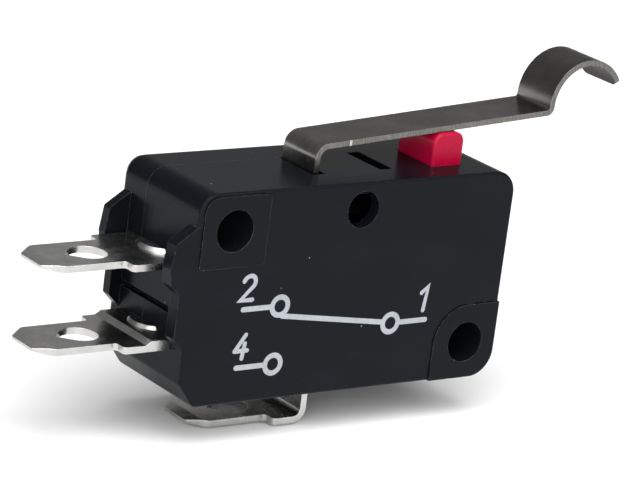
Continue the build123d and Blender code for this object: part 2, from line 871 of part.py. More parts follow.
with BuildPart() as rocker:
    with BuildSketch(at_y(-rocker_arm_outer)):
        with BuildLine():
            FilletPolyline(
                (rocker_pivot[0] - rocker_hub_radius, rocker_pivot[1] + rocker_hub_radius),
                (hook_bar[0] - rocker_neck, hook_bar[1] + rocker_neck_top),
                (nose_block_start - rocker_crown_back, hook_bar[1] + rocker_crown),
                (pad_left, pad_height(pad_left)),
                (rocker_end, pad_height(rocker_end)),
                (rocker_end, pad_height(rocker_end) - pad_thickness),
                (nose_block_start + rocker_web_in, hook_bar[1] + rocker_web_up),
                (hook_bar[0] + rocker_web_up, hook_bar[1] - rocker_neck),
                (rocker_pivot[0] - rocker_hub_radius, rocker_pivot[1] - rocker_hub_radius),
                radius=[
                    rocker_hub_round,
                    rocker_round,
                    pad_round,
                    pad_round,
                    pad_end_round,
                    pad_end_round,
                    rocker_web_round,
                    rocker_round,
                    rocker_hub_round,
                ],
                close=True,
            )
        make_face()
    extrude_back(2 * rocker_arm_outer)
    # Room between the arms for the spring
    block(rocker_pivot[0] - 2 * rocker_hub_radius, nose_block_start, -rocker_arm_inner, rocker_arm_inner,
          cavity_bottom, cavity_top, mode=Mode.SUBTRACT)
    with BuildSketch(at_y(-rocker_arm_outer)):
        with Locations(rocker_pivot):
            Circle(trunnion_radius + running_fit)
    extrude_back(2 * rocker_arm_outer, mode=Mode.SUBTRACT)
    with BuildSketch(at_y(-rocker_arm_outer)):
        with Locations(hook_bar):
            Circle(hook_bar_radius)
    extrude_back(2 * rocker_arm_outer)
rocker.part.label = "rocker"

# Snap spring: a close coil with a full loop at each end, one through the tongue and
# one round the rocker's bar
tongue_hole_x = tongue_end - tongue_hole_from_end
left_loop_x = tongue_hole_x + tongue_hole_radius - wire / 2 - running_fit + loop_radius
left_loop = (left_loop_x, blade_z)
right_loop = hook_bar
spring_run = hypot(right_loop[0] - left_loop[0], right_loop[1] - left_loop[1])
spring_angle = atan2(right_loop[1] - left_loop[1], right_loop[0] - left_loop[0])
spring_axis = (cos(spring_angle), 0, sin(spring_angle))
coil_start = loop_radius + coil_margin
coil_length = spring_run - 2 * coil_start
coil_pitch = coil_length / coil_turns
coil_from = (left_loop[0] + coil_start * cos(spring_angle), 0, left_loop[1] + coil_start * sin(spring_angle))
with BuildPart() as snap_spring:
    with BuildLine():
        helix = Helix(coil_pitch, coil_length, coil_radius, center=coil_from, direction=spring_axis)
    with BuildLine(Plane(origin=(left_loop[0], 0, left_loop[1]), x_dir=spring_axis, z_dir=(0, -1, 0))):
        left_hook = CenterArc((0, 0), loop_radius, loop_end_angle, -loop_end_angle - 270)
        right_hook = CenterArc((spring_run, 0), loop_radius, 180 - loop_end_angle, loop_end_angle + 270)
    with BuildLine():
        Spline(left_hook @ 1, helix @ 0, tangents=(left_hook % 1, helix % 0))
        Spline(helix @ 1, right_hook @ 1, tangents=(helix % 1, -(right_hook % 1)))
    with BuildSketch(Plane(origin=left_hook @ 0, z_dir=left_hook % 0)):
        Circle(wire / 2)
    sweep()
snap_spring.part.label = "snap_spring"

# Lever: one bent strip, hooked under the top wall and curled at its tip
arm_start = (lever_tail_x, lever_middle_at_tail)
arm_end = (lever_arm_end, lever_middle_at_tail + (lever_arm_end - lever_tail_x) * slope)
curl_centre = (lever_arm_end + curl_radius, arm_end[1] + curl_rise)
curl_start = (lever_arm_end, curl_centre[1])
curl_top = (curl_centre[0], curl_centre[1] + curl_radius)
curl_end = (
    curl_centre[0] + curl_radius * cos(radians(curl_end_angle)),
    curl_centre[1] + curl_radius * sin(radians(curl_end_angle)),
)
with BuildPart() as lever:
    with BuildSketch(at_y(lever_front)):
        with BuildLine():
            FilletPolyline(
                (lever_foot_end, lever_foot_z - lever_foot_drop),
                (lever_tail_x, lever_foot_z),
                arm_start,
                arm_end,
                curl_start,
                radius=[lever_low_bend, lever_bend, lever_curl_bend],
            )
            ThreePointArc(curl_start, curl_top, curl_end)
        trace(line_width=lever_thickness)
    extrude_back(lever_back - lever_front)
    tip = lever.faces().sort_by(Axis.X)[-1]
    fillet(tip.edges().filter_by(Axis.Y, reverse=True), radius=lever_tip_corner)
lever.part.label = "lever"

for piece in (
    cover,
    housing,
    plunger,
    lever,
    rocker,
    snap_spring,
    moving_blade,
    moving_contact,
    blade_bracket,
    com_rivet,
    com_terminal,
    nc_terminal,
    nc_contact,
    no_terminal,
    no_contact,
):
    export_step(piece.part, "parts/" + piece.part.label + ".step")
    print(piece.part.label, len(piece.part.solids()), round(piece.part.volume, 2))
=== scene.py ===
# %% [markdown]
# # A micro switch with a bent lever
#
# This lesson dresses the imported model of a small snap-action switch: a black moulded case, a red
# plunger, a bent steel lever and three plated push-on tabs. Its shapes come from the CAD frame,
# which is loaded first and never changed. What is added here is what a camera sees on top of shape:
# surfaces with grain and wear, the white print and the studio.

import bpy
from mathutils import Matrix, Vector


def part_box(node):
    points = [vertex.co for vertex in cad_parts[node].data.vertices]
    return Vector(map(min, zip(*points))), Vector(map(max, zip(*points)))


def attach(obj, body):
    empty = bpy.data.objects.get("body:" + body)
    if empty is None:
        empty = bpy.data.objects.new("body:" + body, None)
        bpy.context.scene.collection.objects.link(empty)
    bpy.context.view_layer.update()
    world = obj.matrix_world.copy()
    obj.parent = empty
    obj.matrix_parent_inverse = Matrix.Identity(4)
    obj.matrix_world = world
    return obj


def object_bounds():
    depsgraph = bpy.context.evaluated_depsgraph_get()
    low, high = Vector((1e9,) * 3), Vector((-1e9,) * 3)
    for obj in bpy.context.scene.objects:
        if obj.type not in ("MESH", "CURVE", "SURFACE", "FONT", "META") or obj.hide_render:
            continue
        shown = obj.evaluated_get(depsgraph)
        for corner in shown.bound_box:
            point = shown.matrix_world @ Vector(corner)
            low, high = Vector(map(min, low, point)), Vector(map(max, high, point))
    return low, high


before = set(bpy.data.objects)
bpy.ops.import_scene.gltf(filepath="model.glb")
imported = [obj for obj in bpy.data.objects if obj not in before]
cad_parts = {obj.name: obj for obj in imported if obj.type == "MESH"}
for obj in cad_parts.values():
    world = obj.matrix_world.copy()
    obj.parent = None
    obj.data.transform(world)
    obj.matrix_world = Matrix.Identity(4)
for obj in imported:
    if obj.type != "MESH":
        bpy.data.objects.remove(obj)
cad_low, cad_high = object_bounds()

# %% [markdown]
# ## Tools and units
#
# Blender counts in metres and the switch is a few centimetres long, so places and sizes are written
# in millimetres here and multiplied by MM where Blender reads them.

# %% Tools used all the way through
import math

import bmesh
import bpy
from mathutils import Matrix, Vector

MM = 0.001
scene = bpy.context.scene
print("the switch measures", [round(side / MM, 2) for side in cad_high - cad_low], "mm")

# %% [markdown]
# ## Camera
#
# A product photograph of a thing this small is taken from well away with a long lens, so that
# parallel edges stay nearly parallel. The camera here stands a quarter of a metre off, to the left
# of the printed face and a little above it, and is rolled a few degrees. Its place was worked out
# from the spacing of the fixing holes and the edges of the case, so no shift is needed.

# %% Camera
VIEW_AZIMUTH = -37.62
VIEW_ELEVATION = 16.87
VIEW_ROLL = 7.51
FOCAL_LENGTH_IN_WIDTHS = 5.7
SENSOR_WIDTH = 36.0
AIM = Vector((-11.1, -5.15, 5.2)) * MM
CAMERA_FROM_AIM = Vector((-2.422, 3.147, 263.1)) * MM


def camera_axes(azimuth, elevation, roll):
    """Right, up and back of a camera that looks at the part from an azimuth and elevation."""
    a, e, r = (math.radians(angle) for angle in (azimuth, elevation, roll))
    back = Vector((math.sin(a) * math.cos(e), -math.cos(a) * math.cos(e), math.sin(e)))
    level = Vector((math.cos(a), math.sin(a), 0.0))
    up = back.cross(level)
    right = level * math.cos(r) + up * math.sin(r)
    return right, up * math.cos(r) - level * math.sin(r), back


axes = camera_axes(VIEW_AZIMUTH, VIEW_ELEVATION, VIEW_ROLL)
camera_place = AIM.copy()
for axis, distance in zip(axes, CAMERA_FROM_AIM):
    camera_place += axis * distance
camera = bpy.data.objects.new("camera", bpy.data.cameras.new("camera"))
camera.data.sensor_width = SENSOR_WIDTH
camera.data.lens = FOCAL_LENGTH_IN_WIDTHS * SENSOR_WIDTH
camera.data.clip_start = 0.01
camera.data.clip_end = 10.0
camera.matrix_world = Matrix.Translation(camera_place) @ Matrix(axes).transposed().to_4x4()
scene.collection.objects.link(camera)
scene.camera = camera
print("camera stands", round(camera_place.length / MM), "mm from the lower fixing hole")

# %% [markdown]
# ## Floor
#
# A switch like this is shown on white. A pale flat floor that reaches far behind the part gives
# such a clean ground and a white sheet to stand on. It could also bend up into a wall, but then the
# glossy top of the case, seen at a low angle, would mirror that wall and look grey, so the floor
# stays flat and the room behind it is dim.

# %% Floor
FLOOR_HALF_SIDE = 3.0
FLOOR_GAP = 0.2 * MM
floor_height = cad_low.z - FLOOR_GAP


def pale_ground():
    """A wide flat sheet under the part."""
    mesh = bmesh.new()
    corners = [
        mesh.verts.new((x * FLOOR_HALF_SIDE, y * FLOOR_HALF_SIDE, floor_height))
        for x, y in ((-1, -1), (1, -1), (1, 1), (-1, 1))
    ]
    mesh.faces.new(corners)
    data = bpy.data.meshes.new("floor")
    mesh.to_mesh(data)
    mesh.free()
    ground = bpy.data.objects.new("floor", data)
    scene.collection.objects.link(ground)
    return ground


floor = pale_ground()
print("floor lies", round(-floor_height / MM, 2), "mm under the lower hole's middle")

# %% [markdown]
# ## How the finishes are made
#
# Every surface is a node material, so its grain is worked out from the place of each point and no
# picture is wrapped round it. Coordinates are the object's own, in metres, which fixes the grain to
# the part. A finish needs many small nodes, so the usual ones get a helper each: one starts the
# material, and the others do arithmetic on values and colours.

# %% Helpers for values and colours
def start_finish(name, metallic=0.0):
    """A new material with its main shader."""
    material = bpy.data.materials.new(name)
    material.use_nodes = True
    tree = material.node_tree
    tree.nodes.clear()
    output = tree.nodes.new("ShaderNodeOutputMaterial")
    shader = tree.nodes.new("ShaderNodeBsdfPrincipled")
    shader.inputs["Metallic"].default_value = metallic
    tree.links.new(shader.outputs["BSDF"], output.inputs["Surface"])
    return material, tree, shader


def join(tree, value, socket):
    """Set a socket to a number, or lead another socket into it."""
    if isinstance(value, bpy.types.NodeSocket):
        tree.links.new(value, socket)
    else:
        socket.default_value = value


def paint(tree, shader, colour, roughness):
    """Give the main shader its colour and its roughness."""
    join(tree, colour, shader.inputs["Base Color"])
    join(tree, roughness, shader.inputs["Roughness"])


def spread(tree, value, low, high, out_low=0.0, out_high=1.0):
    """Map one range of a value on to another, held at both ends."""
    node = tree.nodes.new("ShaderNodeMapRange")
    join(tree, value, node.inputs["Value"])
    limits = {"From Min": low, "From Max": high, "To Min": out_low, "To Max": out_high}
    for socket, limit in limits.items():
        node.inputs[socket].default_value = limit
    return node.outputs["Result"]


def reckon(tree, operation, first, second=0.0):
    """One step of arithmetic on two values."""
    node = tree.nodes.new("ShaderNodeMath")
    node.operation = operation
    join(tree, first, node.inputs[0])
    join(tree, second, node.inputs[1])
    return node.outputs["Value"]


def times(tree, first, second):
    """The product of two values."""
    return reckon(tree, "MULTIPLY", first, second)


def blend_colours(tree, share, first, second):
    """A colour between two, by a share from 0 to 1."""
    node = tree.nodes.new("ShaderNodeMix")
    node.data_type = "RGBA"
    join(tree, share, node.inputs["Factor"])
    join(tree, first, node.inputs[6])
    join(tree, second, node.inputs[7])
    return node.outputs[2]


print("helpers for values ready")

# %% [markdown]
# Grain comes from noise. A cloud varies softly in patches of a set size, and stretching its
# coordinates turns the patches into lines. Specks are the middles of the cells of a random
# honeycomb, of which only a share is kept. A spot marks one place on the part, for a single bright
# spot or round mark.

# %% Helpers for grain
def own_place(tree, stretch=(1.0, 1.0, 1.0)):
    """The point's place on its own part, squeezed by an amount along each axis."""
    coordinates = tree.nodes.new("ShaderNodeTexCoord")
    mapping = tree.nodes.new("ShaderNodeMapping")
    mapping.inputs["Scale"].default_value = stretch
    tree.links.new(coordinates.outputs["Object"], mapping.inputs["Vector"])
    return mapping.outputs["Vector"]


def cloud(tree, grain_mm, stretch=(1.0, 1.0, 1.0), detail=3.0, harshness=0.5, seed=0.0):
    """Soft random variation with patches of about the given size."""
    node = tree.nodes.new("ShaderNodeTexNoise")
    node.noise_dimensions = "4D"
    node.inputs["W"].default_value = seed
    node.inputs["Scale"].default_value = 1 / (grain_mm * MM)
    node.inputs["Detail"].default_value = detail
    node.inputs["Roughness"].default_value = harshness
    tree.links.new(own_place(tree, stretch), node.inputs["Vector"])
    return node.outputs["Fac"]


def specks(tree, spacing_mm, share, size):
    """Sparse small dots: one for a share of the cells, each a fraction of its cell across."""
    node = tree.nodes.new("ShaderNodeTexVoronoi")
    node.inputs["Scale"].default_value = 1 / (spacing_mm * MM)
    tree.links.new(own_place(tree), node.inputs["Vector"])
    lucky = tree.nodes.new("ShaderNodeSeparateColor")
    tree.links.new(node.outputs["Color"], lucky.inputs["Color"])
    chosen = reckon(tree, "LESS_THAN", lucky.outputs[0], share)
    near = spread(tree, node.outputs["Distance"], size * 0.6, size, 1.0, 0.0)
    return times(tree, chosen, near)


def near_spot(tree, spot_mm, reach, size_mm):
    """One within a size of a spot on the part, measured only along the axes that reach keeps."""
    coordinates = tree.nodes.new("ShaderNodeTexCoord")
    node = tree.nodes.new("ShaderNodeMapping")
    node.inputs["Location"].default_value = [-at * MM * keep for at, keep in zip(spot_mm, reach)]
    node.inputs["Scale"].default_value = reach
    tree.links.new(coordinates.outputs["Object"], node.inputs["Vector"])
    length = tree.nodes.new("ShaderNodeVectorMath")
    length.operation = "LENGTH"
    tree.links.new(node.outputs["Vector"], length.inputs[0])
    return spread(tree, length.outputs["Value"], size_mm * 0.85 * MM, size_mm * MM, 1.0, 0.0)


print("helpers for grain ready")

# %% [markdown]
# Two things are shared by all the finishes. A Bevel node rounds the normal at each edge by a few
# hundredths of a millimetre, which gives the thin bright line that real edges have. Comparing that
# rounded normal with the true one also tells where an edge is, and that mask carries the wear and,
# on the case and the lever, a painted highlight along the edges.

# %% Helpers for edges and bump
def rounded(tree, radius_mm):
    """The surface normal with every edge rounded off by a radius."""
    node = tree.nodes.new("ShaderNodeBevel")
    node.samples = 4
    node.inputs["Radius"].default_value = radius_mm * MM
    return node.outputs["Normal"]


def edge_mask(tree, radius_mm, low=0.002, high=0.12):
    """One along edges and nought on flat surfaces."""
    true_normal = tree.nodes.new("ShaderNodeNewGeometry").outputs["Normal"]
    node = tree.nodes.new("ShaderNodeVectorMath")
    node.operation = "DOT_PRODUCT"
    tree.links.new(rounded(tree, radius_mm), node.inputs[0])
    tree.links.new(true_normal, node.inputs[1])
    return spread(tree, reckon(tree, "SUBTRACT", 1.0, node.outputs["Value"]), low, high)


def facing(tree, axis):
    """How far the surface faces along X, Y or Z of the part, from -1 to 1."""
    coordinates = tree.nodes.new("ShaderNodeTexCoord")
    parts = tree.nodes.new("ShaderNodeSeparateXYZ")
    tree.links.new(coordinates.outputs["Normal"], parts.inputs["Vector"])
    return parts.outputs[axis]


def raise_grain(tree, shader, height, depth_mm, radius_mm, strength=1.0):
    """Bump from a height of 0 to 1, on top of rounded edges."""
    node = tree.nodes.new("ShaderNodeBump")
    node.inputs["Distance"].default_value = depth_mm * MM
    node.inputs["Strength"].default_value = strength
    join(tree, height, node.inputs["Height"])
    tree.links.new(rounded(tree, radius_mm), node.inputs["Normal"])
    tree.links.new(node.outputs["Normal"], shader.inputs["Normal"])


print("helpers for edges ready")

# %% [markdown]
# ## Black moulded plastic
#
# The case is moulded in black plastic. It isn't one even black: the skin that froze against a
# polished mould is glossier, there are faint flow marks a few millimetres long, and a fine pebble
# breaks up reflections. Edges turn a little grey, partly from rubbing against others in a bag and
# partly as a painted highlight along them; crumbs of flash stay on them where the mould closed, and
# a few pale specks of dust cling to the faces. The pins that push a shell out of its mould leave
# shallow round marks, here three on the back. The cover is slightly bluish and the housing, from
# another batch, a little less so: the two share one recipe and differ in colour.

# %% Case plastic
PIN_MARKS = [(-19.5, 2.4), (-11.8, 6.4), (-4.6, 9.6)]
PIN_RADIUS = 1.15
MARK_DEPTH = 0.03
PEBBLE_DEPTH = 0.004
SKIN_REFLECTION = 0.09
SKIN_ROUGHNESS = (0.23, 0.30)
# Grey of the edges: rubbed wear together with a painted highlight along them.
RUBBED_EDGE_AND_HIGHLIGHT = (0.11, 0.112, 0.118, 1)
FLASH = (0.42, 0.42, 0.41, 1)
DUST = (0.30, 0.30, 0.29, 1)


def pin_marks(tree):
    """One on the round marks that the ejector pins of the mould leave on the back."""
    marks = 0.0
    for x, z in PIN_MARKS:
        spot = near_spot(tree, (x, 0.0, z), (1.0, 0.0, 1.0), PIN_RADIUS)
        marks = reckon(tree, "ADD", marks, spot)
    return times(tree, marks, spread(tree, facing(tree, "Y"), 0.8, 0.95))


def moulded_black(name, dark, light, seed):
    """Black plastic with flow marks, edges lightened by wear and a painted highlight, crumbs of
    flash and dust.
    """
    material, tree, shader = start_finish(name)
    shader.inputs["Specular IOR Level"].default_value = SKIN_REFLECTION
    flow = cloud(tree, 4.5, stretch=(0.7, 1.0, 1.3), detail=2.0, seed=seed)
    pebble = cloud(tree, 0.09, detail=2.0, seed=seed + 1)
    patchy = spread(tree, cloud(tree, 0.45, detail=4.0, seed=seed + 2), 0.42, 0.62, 0.15, 1.0)
    crumbs = spread(tree, cloud(tree, 0.16, detail=2.0, seed=seed + 3), 0.66, 0.70)
    edges = edge_mask(tree, 0.09)
    wear_and_highlight = times(tree, edges, patchy)
    colour = blend_colours(tree, spread(tree, flow, 0.2, 0.8), dark, light)
    # Edges lightened: partly rubbed wear, partly a painted highlight.
    colour = blend_colours(tree, times(tree, wear_and_highlight, 0.55), colour, RUBBED_EDGE_AND_HIGHLIGHT)
    colour = blend_colours(tree, times(tree, edges, crumbs), colour, FLASH)
    colour = blend_colours(tree, specks(tree, 1.1, 0.1, 0.065), colour, DUST)
    gloss = spread(tree, flow, 0.2, 0.8, *SKIN_ROUGHNESS)
    paint(tree, shader, colour, reckon(tree, "ADD", gloss, times(tree, wear_and_highlight, 0.12)))
    fine = times(tree, pebble, 0.5 * PEBBLE_DEPTH / MARK_DEPTH)
    raise_grain(tree, shader, reckon(tree, "SUBTRACT", fine, pin_marks(tree)), MARK_DEPTH, 0.07)
    return material


cover_black = moulded_black(
    "cover_black", (0.0030, 0.0040, 0.0060, 1), (0.0050, 0.0064, 0.0090, 1), 1.0
)
housing_black = moulded_black(
    "housing_black", (0.0034, 0.0040, 0.0052, 1), (0.0056, 0.0064, 0.0080, 1), 7.0
)
print("two blacks:", cover_black.name, housing_black.name)

# %% [markdown]
# ## Red plunger
#
# The plunger is a small crimson moulding, smooth on the sides where it slides. Thin red plastic
# lets a little light in below its skin, which is what keeps its shadows red instead of black, so it
# gets a short subsurface distance. Sliding leaves fine upright marks.

# %% Plunger red
LIGHT_DEPTH = 0.5


def let_light_in(shader, weight, colour_reach):
    """Light below the skin, with the share of the depth that red, green and blue reach."""
    shader.inputs["Subsurface Weight"].default_value = weight
    shader.inputs["Subsurface Radius"].default_value = colour_reach
    shader.inputs["Subsurface Scale"].default_value = LIGHT_DEPTH * MM


def plunger_red():
    """Crimson plastic, paler on its edges."""
    material, tree, shader = start_finish("plunger_red")
    shader.inputs["Specular IOR Level"].default_value = 0.16
    let_light_in(shader, 0.3, (1.0, 0.05, 0.08))
    drift = cloud(tree, 1.4, seed=21.0)
    colour = blend_colours(tree, drift, (0.33, 0.0008, 0.025, 1), (0.43, 0.0018, 0.037, 1))
    worn = times(tree, edge_mask(tree, 0.08), 0.45)
    colour = blend_colours(tree, worn, colour, (0.60, 0.03, 0.08, 1))
    paint(tree, shader, colour, spread(tree, drift, 0.3, 0.7, 0.26, 0.36))
    slide_marks = cloud(tree, 0.12, stretch=(1.0, 1.0, 0.08), detail=2.0, seed=22.0)
    raise_grain(tree, shader, slide_marks, 0.003, 0.08, strength=0.5)
    return material


red = plunger_red()
print("plunger:", red.name)

# %% [markdown]
# ## Rolled steel of the lever
#
# The lever is bent from thin steel strip. Rolling leaves fine lines along its length, and blanking
# leaves a cut edge with fine torn streaks across it. The strip is painted a darker grey below and on
# the curl as painted shade, its edges are lightened, partly as a burnished rim and partly as a
# painted highlight, and one small bright spot is painted on the cut edge. These zones are told apart
# by which way they face and by how near they are to the tip. The specular tint keeps the metal from
# going white where it is seen at a low angle.

# %% Lever steel
BRIGHT_SPOT_X = -10.85
BRIGHT_SPOT_SIZE = 0.11
CURL_REACH = 7.6
CURL_SHADE = 0.5
LEVER_TIP_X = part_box("lever")[1].x
ALONG_X = (1.0, 0.0, 0.0)


def flat_steel(tree, rolled, blotch):
    """The colour of the strip's two broad faces, with painted shade on the curl and below."""
    patches = spread(tree, blotch, 0.3, 0.7)
    upper = blend_colours(tree, patches, (0.285, 0.277, 0.266, 1), (0.345, 0.336, 0.322, 1))
    lines = spread(tree, rolled, 0.35, 0.7, 0.0, 0.35)
    upper = blend_colours(tree, lines, upper, (0.21, 0.204, 0.195, 1))
    # Painted shade on the curl: the strip within a reach of the tip is darkened.
    painted_shade_on_curl = near_spot(tree, (LEVER_TIP_X / MM, 0.0, 0.0), ALONG_X, CURL_REACH)
    upper = blend_colours(tree, times(tree, painted_shade_on_curl, CURL_SHADE), upper, (0.10, 0.0975, 0.093, 1))
    # Painted shade: the underside is a darker copy of the same steel.
    under = blend_colours(tree, patches, (0.050, 0.048, 0.045, 1), (0.075, 0.073, 0.068, 1))
    return blend_colours(tree, spread(tree, facing(tree, "Z"), -0.35, 0.05, 1.0, 0.0), upper, under)


def lever_steel():
    """Rolled strip with cut edges, painted shade and highlight, and one small bright spot."""
    material, tree, shader = start_finish("rolled_steel", metallic=1.0)
    shader.inputs["Specular Tint"].default_value = (0.6, 0.6, 0.6, 1)
    rolled = cloud(tree, 0.35, stretch=(0.03, 1.0, 0.03), detail=5.0, harshness=0.65, seed=31.0)
    blotch = cloud(tree, 2.4, detail=4.0, seed=32.0)
    torn = cloud(tree, 0.12, stretch=(1.0, 1.0, 0.25), detail=4.0, seed=33.0)
    streaks = spread(tree, torn, 0.35, 0.65)
    cut = blend_colours(tree, streaks, (0.13, 0.125, 0.116, 1), (0.21, 0.202, 0.188, 1))
    sideways = spread(tree, reckon(tree, "ABSOLUTE", facing(tree, "Y")), 0.6, 0.9)
    colour = blend_colours(tree, sideways, flat_steel(tree, rolled, blotch), cut)
    # Edges lightened: partly a burnished rim, partly a painted highlight.
    bright = times(tree, edge_mask(tree, 0.045), 0.25)
    colour = blend_colours(tree, bright, colour, (0.50, 0.49, 0.465, 1))
    # One small bright spot painted on the cut edge.
    bright_spot = times(tree, near_spot(tree, (BRIGHT_SPOT_X, 0.0, 0.0), ALONG_X, BRIGHT_SPOT_SIZE), sideways)
    colour = blend_colours(tree, bright_spot, colour, (0.55, 0.545, 0.53, 1))
    paint(tree, shader, colour, spread(tree, blotch, 0.3, 0.7, 0.22, 0.34))
    raise_grain(tree, shader, rolled, 0.004, 0.05, strength=0.6)
    return material


steel = lever_steel()
print("lever:", steel.name)

# %% [markdown]
# ## Plated tabs and the metals inside
#
# The tabs are stamped from brass and tin-plated, which leaves a soft silver with a faint cloudiness
# and fine marks from the press. The parts inside are bare brass, copper alloy, silver and spring
# wire. One recipe makes them all, with two colours, a range of roughness, the direction of the
# grain and a brighter edge, because they differ in little else.

# %% Plated and bare metals
def stamped_metal(name, dark, light, roughness, grain, seed, edge_colour):
    """Cloudy metal with marks of the press and brighter edges."""
    material, tree, shader = start_finish(name, metallic=1.0)
    mist = cloud(tree, 1.1, detail=5.0, harshness=0.6, seed=seed)
    press = cloud(tree, 0.2, stretch=grain, detail=4.0, harshness=0.6, seed=seed + 1)
    colour = blend_colours(tree, spread(tree, mist, 0.35, 0.65), dark, light)
    bright = times(tree, edge_mask(tree, 0.06), 0.7)
    colour = blend_colours(tree, bright, colour, edge_colour)
    paint(tree, shader, colour, spread(tree, mist, 0.3, 0.7, *roughness))
    raise_grain(tree, shader, press, 0.004, 0.05, strength=0.5)
    return material


METALS = {
    "tin_plate": (
        (0.48, 0.475, 0.46, 1), (0.60, 0.595, 0.58, 1), (0.2, 0.3),
        (0.15, 1.0, 1.0), 41.0, (0.92, 0.91, 0.88, 1),
    ),
    "bare_brass": (
        (0.62, 0.44, 0.17, 1), (0.76, 0.56, 0.25, 1), (0.24, 0.36),
        (1.0, 1.0, 0.2), 51.0, (0.88, 0.72, 0.40, 1),
    ),
    "springy_copper": (
        (0.58, 0.33, 0.20, 1), (0.72, 0.43, 0.28, 1), (0.2, 0.3),
        (0.08, 1.0, 1.0), 61.0, (0.86, 0.60, 0.44, 1),
    ),
    "fine_silver": (
        (0.70, 0.69, 0.67, 1), (0.84, 0.83, 0.81, 1), (0.2, 0.32),
        (1.0, 1.0, 1.0), 71.0, (0.93, 0.92, 0.90, 1),
    ),
    "spring_wire": (
        (0.42, 0.42, 0.42, 1), (0.55, 0.55, 0.55, 1), (0.2, 0.28),
        (1.0, 0.3, 1.0), 81.0, (0.75, 0.75, 0.74, 1),
    ),
}
metals = {name: stamped_metal(name, *recipe) for name, recipe in METALS.items()}
print("metals:", ", ".join(metals))

# %% [markdown]
# ## Pale plastic of the rocker
#
# The rocker that joins plunger and spring is moulded in undyed plastic, a warm off-white that light
# enters a little way, so it uses the same light below the skin as the plunger does.

# %% Rocker plastic
def natural_plastic():
    """Undyed plastic with a fine grain."""
    material, tree, shader = start_finish("rocker_natural")
    let_light_in(shader, 0.2, (1.0, 0.8, 0.6))
    drift = cloud(tree, 1.0, seed=91.0)
    colour = blend_colours(tree, drift, (0.56, 0.53, 0.46, 1), (0.68, 0.65, 0.58, 1))
    paint(tree, shader, colour, spread(tree, drift, 0.3, 0.7, 0.36, 0.48))
    raise_grain(tree, shader, cloud(tree, 0.1, seed=92.0), 0.003, 0.06, strength=0.4)
    return material


natural = natural_plastic()
print("rocker:", natural.name)

# %% [markdown]
# ## Finishes on the CAD parts
#
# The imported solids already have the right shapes, so they stay as they are and only their material
# slots are filled.

# %% Dress the CAD parts
FINISHES = {
    "cover": cover_black,
    "housing": housing_black,
    "plunger": red,
    "lever": steel,
    "rocker": natural,
    "snap_spring": metals["spring_wire"],
    "moving_blade": metals["springy_copper"],
    "moving_contact": metals["fine_silver"],
    "blade_bracket": metals["bare_brass"],
    "com_rivet": metals["bare_brass"],
    "com_terminal": metals["tin_plate"],
    "nc_terminal": metals["tin_plate"],
    "nc_contact": metals["fine_silver"],
    "no_terminal": metals["tin_plate"],
    "no_contact": metals["fine_silver"],
}
for node_name, material in FINISHES.items():
    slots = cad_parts[node_name].data.materials
    slots.clear()
    slots.append(material)
print("dressed", len(FINISHES), "parts")

# %% [markdown]
# ## White print
#
# The face of such a switch is pad-printed in white. This one carries a plain circuit symbol for a
# changeover contact, and the number of each terminal beside it. A printed film is slightly thin and
# uneven, so the black below shows through it in places.

# %% Print ink
THIN_INK = (0.06, 0.066, 0.08, 1)
FULL_INK = (0.36, 0.38, 0.415, 1)


def print_ink():
    """Matt white ink that covers unevenly."""
    material, tree, shader = start_finish("print_ink")
    thin = cloud(tree, 0.16, detail=5.0, harshness=0.65, seed=101.0)
    thin = spread(tree, thin, 0.3, 0.5)
    cloudy = spread(tree, cloud(tree, 2.0, seed=102.0), 0.3, 0.7, 0.8, 1.0)
    cover = times(tree, spread(tree, thin, 0.0, 1.0, 0.72, 1.0), cloudy)
    colour = blend_colours(tree, cover, THIN_INK, FULL_INK)
    paint(tree, shader, colour, spread(tree, thin, 0.0, 1.0, 0.6, 0.48))
    raise_grain(tree, shader, thin, 0.003, 0.02, strength=0.4)
    return material


ink = print_ink()
FACE_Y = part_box("cover")[0].y
print("printed face lies at y =", round(FACE_Y / MM, 2), "mm")

# %% [markdown]
# Printed strokes have an even width and round ends. Each is a flat ribbon a hundredth of a
# millimetre thick, made in mesh code from the line that it follows. First come the points on both
# sides of that line, with a mitre at each corner, and the half circle at an end.

# %% Outline of a stroke
ROUND_END_STEPS = 10
SHARPEST_MITRE = 0.5


def beside(points, index, half, closed):
    """The two points half a stroke away from a point of the line, square to it or on the mitre."""
    count = len(points)
    here = Vector(points[index])
    runs = []
    if closed or index > 0:
        runs.append((here - Vector(points[(index - 1) % count])).normalized())
    if closed or index < count - 1:
        runs.append((Vector(points[(index + 1) % count]) - here).normalized())
    along = sum(runs, Vector((0.0, 0.0))).normalized()
    square = Vector((-along.y, along.x))
    first_square = Vector((-runs[0].y, runs[0].x))
    reach = half / max(SHARPEST_MITRE, square.dot(first_square))
    return here + square * reach, here - square * reach


def round_end(centre, outward, half):
    """Points of the half circle that ends a stroke."""
    heading = math.atan2(outward.y, outward.x)
    points = []
    for step in range(1, ROUND_END_STEPS):
        angle = heading - math.pi / 2 + math.pi * step / ROUND_END_STEPS
        points.append((centre[0] + half * math.cos(angle), centre[1] + half * math.sin(angle)))
    return points


def circle_points(x, z, radius, start=0.0, sweep=360.0, steps=36):
    """Points along a circle or an arc of it, in millimetres. A full circle ends on its first."""
    points = []
    for step in range(steps + 1):
        angle = math.radians(start + sweep * step / steps)
        points.append((x + radius * math.cos(angle), z + radius * math.sin(angle)))
    if abs(sweep) == 360.0:
        points[-1] = points[0]
    return points


print("a full circle has", len(circle_points(0.0, 0.0, 1.0)) - 1, "points")

# %% [markdown]
# The ribbon itself has a film in front of the face and one just behind it, so no gap shows. Where
# strokes of one mark cross, each lies a thousandth of a millimetre above the last, so that their
# surfaces don't fight. Every mark rides on the case.

# %% Mesh of a stroke
INK_FILM = 0.01 * MM
INK_STEP = 0.001 * MM


